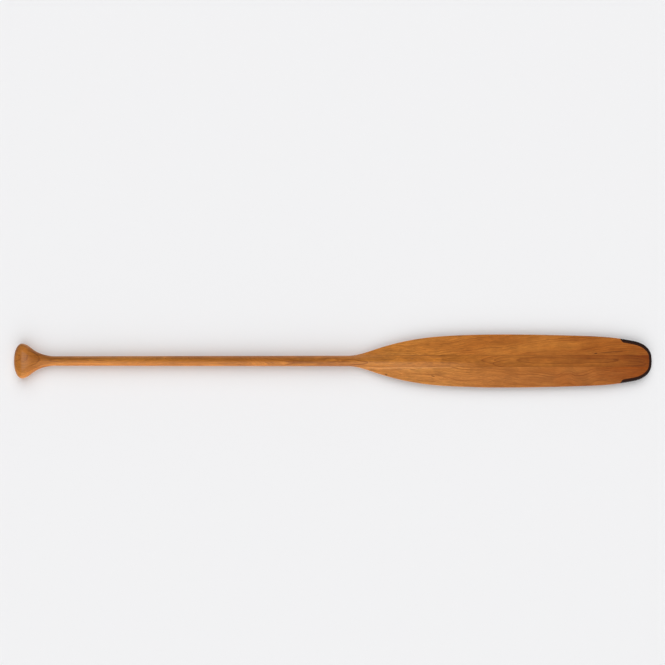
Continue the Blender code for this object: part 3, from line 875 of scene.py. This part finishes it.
def cheek_places(steps=170, columns=46):
    """Profiles from the edge to the glue line, each the curve of the second degree that leaves an edge point
    squarely, aims for a point straight in from it, and ends at its foot on the glue line. The feet move
    along the glue line in step with the edge points, and places bunch up at the edge as the square of an
    even step."""
    inner = STAVE_HALF + GLUE_GAP
    on_cheek = (edge_points[:, 1] > inner) & (edge_points[:, 0] < GRIP_JOIN)
    edge = edge_points[on_cheek]
    way = np.concatenate([[0.0], np.cumsum(np.linalg.norm(np.diff(edge, axis=0), axis=1))])
    even = np.linspace(0.0, way[-1], steps)
    rim = np.column_stack([np.interp(even, way, edge[:, axis]) for axis in (0, 1)])
    rim[[0, -1], 1] = inner
    square = np.column_stack([np.interp(even, way, edge_inward[on_cheek][:, axis]) for axis in (0, 1)])
    square[:, 1] *= ease((rim[:, 1] - inner) / PROFILE_REACH)
    square[rim[:, 0] > GRIP_END + GRIP_ROUND_LENGTH, 1] = -1.0
    square /= np.linalg.norm(square, axis=1)[:, None]
    progress = (rim[:, 0] - rim[0, 0]) / (rim[-1, 0] - rim[0, 0])
    foot_x = rim[0, 0] + PROFILE_FOOT + (rim[-1, 0] - rim[0, 0] - PROFILE_FOOT) * progress
    foot = np.column_stack([foot_x, np.full(steps, inner)])
    drop = (rim[:, 1] - inner) / np.maximum(-square[:, 1], HAIR)
    half_way = np.linalg.norm(foot - rim, axis=1) / 2
    reach = np.minimum(half_way, np.minimum(PROFILE_REACH, PROFILE_CLEAR * drop))
    reach[0] = PROFILE_FOOT / 2
    middle = rim + square * reach[:, None]
    t = (np.linspace(0.0, 1.0, columns) ** 2)[None, :, None]
    places = (1 - t) ** 2 * rim[:, None] + 2 * t * (1 - t) * middle[:, None] + t * t * foot[:, None]
    return places[:, :, 0], places[:, :, 1]


LEFT_CHEEK_TRUNK = [(-0.77, 0.004, 0.1050), (-0.72, 0.002, 0.1050), (-0.66, 0.002, 0.1050)]
RIGHT_CHEEK_TRUNK = [(-0.77, 0.000, 0.1035), (-0.72, 0.002, 0.1035), (-0.66, 0.002, 0.1035)]
CHEEK_TONE = [(-0.77, 0.28), (-0.74, 0.38), (-0.70, 0.48), (-0.66, 0.42)]
CHEEK_GRAIN = {
    "tone": CHEEK_TONE,
    "heart": -0.72,
    "stretch": 6.0,
    "reach": 0.2,
    "gap": 0.0065,
    "slow_sway": 0.016,
    "quick_sway": 0.004,
    "bold": 0.46,
    "arches": GRIP_ARCHES,
}

cheek_x, cheek_y = cheek_places()
cheek_left = carved_piece("cheek_left", cheek_x, cheek_y)
cheek_right = carved_piece("cheek_right", cheek_x, -cheek_y)
cheek_left.data.materials.append(varnished_cherry(
    "left cheek cherry",
    pale=(0.56, 0.215, 0.038),
    deep=(0.27, 0.066, 0.006),
    trunk=LEFT_CHEEK_TRUNK,
    start=60.0,
    **CHEEK_GRAIN,
))
cheek_right.data.materials.append(varnished_cherry(
    "right cheek cherry",
    pale=(0.56, 0.222, 0.042),
    deep=(0.27, 0.068, 0.006),
    trunk=RIGHT_CHEEK_TRUNK,
    start=80.0,
    **CHEEK_GRAIN,
))
for cheek, node in ((cheek_left, "grip_cheek_left"), (cheek_right, "grip_cheek_right")):
    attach(cheek, "root")
    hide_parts(node)


# Tip guard
# A band of dark resin cast round the blade's tip and hooked into both edges, then shaped with the wood and
# polished. It takes the knocks of rocks and gunwales.

GUARD_FILL = 0.994
RESIN_DARK = (0.011, 0.007, 0.006, 1.0)
RESIN_BROWN = (0.036, 0.011, 0.006, 1.0)
RESIN_DARK_UP_TO = 0.15
CLOUDS = {"Scale": 120.0, "Detail": 3.0}
CLOUD_SHARE = 0.25
SCUFFS = {"Scale": 900.0, "Detail": 2.0}
SCUFF_REACH = 0.35
SCUFFED_ROUGHNESS = 0.35
POLISHED_ROUGHNESS = 0.08
RESIN_SPECULAR = 0.35


def guard_places(columns=22):
    """Places from the guard's outer edge in to the wood, bunched up at the outer edge as the square of an
    even step. The band ends a hair before the wood."""
    t = (np.linspace(0.0, 1.0, columns) ** 2)[None, :, None] * GUARD_FILL
    places = guard_outer[:, None] * (1 - t) + wood_edge[:, None] * t
    return places[:, :, 0], places[:, :, 1]


def cast_resin(name):
    """Dark resin, brown where it is thin against the wood and nearly black towards its outer edge, with a
    polish that fine scuffs take off along that edge. The way in from the edge is kept with the mesh."""
    material = bpy.data.materials.new(name)
    material.use_nodes = True
    tree = material.node_tree
    way = shader_node(tree, "Attribute", attribute_name="way_in").outputs["Fac"]
    place = shader_node(tree, "TexCoord").outputs["Object"]
    clouds = shader_node(tree, "TexNoise", {"Vector": place, **CLOUDS}).outputs["Fac"]
    clouded = shader_node(tree, "Math", {0: clouds, 1: CLOUD_SHARE, 2: way}, operation="MULTIPLY_ADD")
    ramp = shader_node(tree, "ValToRGB", {"Fac": clouded.outputs[0]})
    dark, brown = ramp.color_ramp.elements
    dark.position = RESIN_DARK_UP_TO
    dark.color = RESIN_DARK
    brown.position = 1.0
    brown.color = RESIN_BROWN
    scuffs = shader_node(tree, "TexNoise", {"Vector": place, **SCUFFS}).outputs["Fac"]
    polish = {"From Max": SCUFF_REACH, "To Min": SCUFFED_ROUGHNESS, "To Max": POLISHED_ROUGHNESS}
    worn = shader_node(tree, "MapRange", {"Value": way, **polish}).outputs[0]
    rough = shader_node(tree, "Math", {0: scuffs, 1: worn}, operation="MULTIPLY").outputs[0]
    shader = tree.nodes["Principled BSDF"]
    tree.links.new(ramp.outputs[0], shader.inputs["Base Color"])
    tree.links.new(rough, shader.inputs["Roughness"])
    shader.inputs["Specular IOR Level"].default_value = RESIN_SPECULAR
    return material


guard = carved_piece("guard", *guard_places())
guard_xyz = np.empty(len(guard.data.vertices) * 3)
guard.data.vertices.foreach_get("co", guard_xyz)
guard_xyz = guard_xyz.reshape(-1, 3)
kept = guard.data.attributes.new("way_in", "FLOAT", "POINT")
kept.data.foreach_set("value", way_in(guard_xyz[:, 0], guard_xyz[:, 1]) / GUARD_SIDE_WIDTH)
guard.data.materials.append(cast_resin("cast resin"))
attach(guard, "root")
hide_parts("tip_guard")


# Studio
# A pale floor under a pale sky that is darker overhead and towards +Y. A broad key light from the -Y side
# lights everything, a second one lights the floor alone, and three softboxes light the paddle alone: one
# over the blade and two at the grip. The camera looks straight down through a long lens.

FLOOR_SIZE = 40.0
FLOOR_COLOUR = (0.86, 0.86, 0.87, 1.0)
FLOOR_ROUGHNESS = 0.8
HORIZON_LEVEL = 0.86
KEY_SIDE_LEVEL = 0.66
FAR_SIDE_LEVEL = 0.16
OVERHEAD_LEVEL = 0.16
# Limits on the parts of a direction whose length is one
SIDE_LIMITS = (-0.6, 0.6)
HORIZON_LIMITS = (0.12, 0.25)
OVERHEAD_LIMITS = (0.35, 0.85)

half_floor = FLOOR_SIZE / 2
floor_corners = [(x * half_floor, y * half_floor, 0.0) for x, y in ((-1, -1), (1, -1), (1, 1), (-1, 1))]
floor_data = bpy.data.meshes.new("floor")
floor_data.from_pydata(floor_corners, [], [(0, 1, 2, 3)])
floor = bpy.data.objects.new("floor", floor_data)
bpy.context.scene.collection.objects.link(floor)
pale_floor = bpy.data.materials.new("pale floor")
pale_floor.use_nodes = True
floor_shader = pale_floor.node_tree.nodes["Principled BSDF"]
floor_shader.inputs["Base Color"].default_value = FLOOR_COLOUR
floor_shader.inputs["Roughness"].default_value = FLOOR_ROUGHNESS
floor_data.materials.append(pale_floor)

world = bpy.data.worlds.new("studio")
bpy.context.scene.world = world
world.use_nodes = True
sky = world.node_tree
direction = shader_node(sky, "TexCoord").outputs["Generated"]
direction_parts = shader_node(sky, "SeparateXYZ", {0: direction}).outputs
side = smooth_range(sky, direction_parts["Y"], *SIDE_LIMITS, KEY_SIDE_LEVEL, FAR_SIDE_LEVEL)
above_horizon = smooth_range(sky, direction_parts["Z"], *HORIZON_LIMITS)
overhead = smooth_range(sky, direction_parts["Z"], *OVERHEAD_LIMITS)
lower = shader_node(sky, "Mix", {0: above_horizon, 2: HORIZON_LEVEL, 3: side}).outputs[0]
level = shader_node(sky, "Mix", {0: overhead, 2: lower, 3: OVERHEAD_LEVEL}).outputs[0]
sky.links.new(level, sky.nodes["Background"].inputs["Color"])


def flagged(light, *lit):
    """Flags round a lamp, which keep its light to the things named."""
    kept_to = bpy.data.collections.new(light.name)
    for thing in lit:
        kept_to.objects.link(thing)
    light.light_linking.receiver_collection = kept_to


def soft_sun(name, compass, elevation, strength, breadth):
    """A broad far light that shines from a compass direction (0 is -Y, 90 is +X) at a height in degrees."""
    lamp = bpy.data.lights.new(name, "SUN")
    lamp.energy = strength
    lamp.angle = math.radians(breadth)
    light = bpy.data.objects.new(name, lamp)
    light.rotation_euler = (math.radians(90 - elevation), 0.0, math.radians(compass))
    bpy.context.scene.collection.objects.link(light)
    return light


def soft_box(name, place, aim, width, height, power):
    """A rectangular softbox that faces the point that it is aimed at."""
    lamp = bpy.data.lights.new(name, "AREA")
    lamp.shape = "RECTANGLE"
    lamp.size = width
    lamp.size_y = height
    lamp.energy = power
    light = bpy.data.objects.new(name, lamp)
    light.location = place
    light.rotation_euler = (Vector(aim) - Vector(place)).to_track_quat("-Z", "Y").to_euler()
    bpy.context.scene.collection.objects.link(light)
    return light


soft_sun("key", compass=0, elevation=46, strength=1.3, breadth=66)
floor_light = soft_sun("floor light", compass=180, elevation=50, strength=1.9, breadth=60)
blade_fill = soft_box(
    "blade fill", place=(0.42, 0.85, 0.85), aim=(0.36, 0.0, 0.0), width=1.0, height=0.8, power=9.0)
side_light = soft_box(
    "grip side light", place=(-0.66, -0.85, 0.45), aim=(-0.66, 0.0, 0.016), width=0.7, height=0.6, power=5.8)
strip = soft_box(
    "grip strip", place=(-0.86, 0.0, 1.0), aim=(-0.735, 0.0, 0.03), width=0.05, height=0.30, power=0.7)
blade_fill.visible_glossy = False
side_light.visible_glossy = False
flagged(floor_light, floor)
for light in (blade_fill, side_light, strip):
    flagged(light, stave, wing_left, wing_right, cheek_left, cheek_right, guard)

LENS = 85.0
METRES_PER_PIXEL = 0.00239
PHOTO_SIZE = 665
PHOTO_TIP_X = 651.8
PHOTO_CENTRE_LINE_Y = 361.0

camera_data = bpy.data.cameras.new("camera")
camera_data.lens = LENS
camera = bpy.data.objects.new("camera", camera_data)
bpy.context.scene.collection.objects.link(camera)
bpy.context.scene.camera = camera
view_width = PHOTO_SIZE * METRES_PER_PIXEL
camera.location = (
    BLADE_TIP - (PHOTO_TIP_X - PHOTO_SIZE / 2) * METRES_PER_PIXEL,
    (PHOTO_CENTRE_LINE_Y - PHOTO_SIZE / 2) * METRES_PER_PIXEL,
    MID_HEIGHT + view_width * LENS / camera_data.sensor_width,
)
bpy.context.scene.view_settings.view_transform = "Standard"
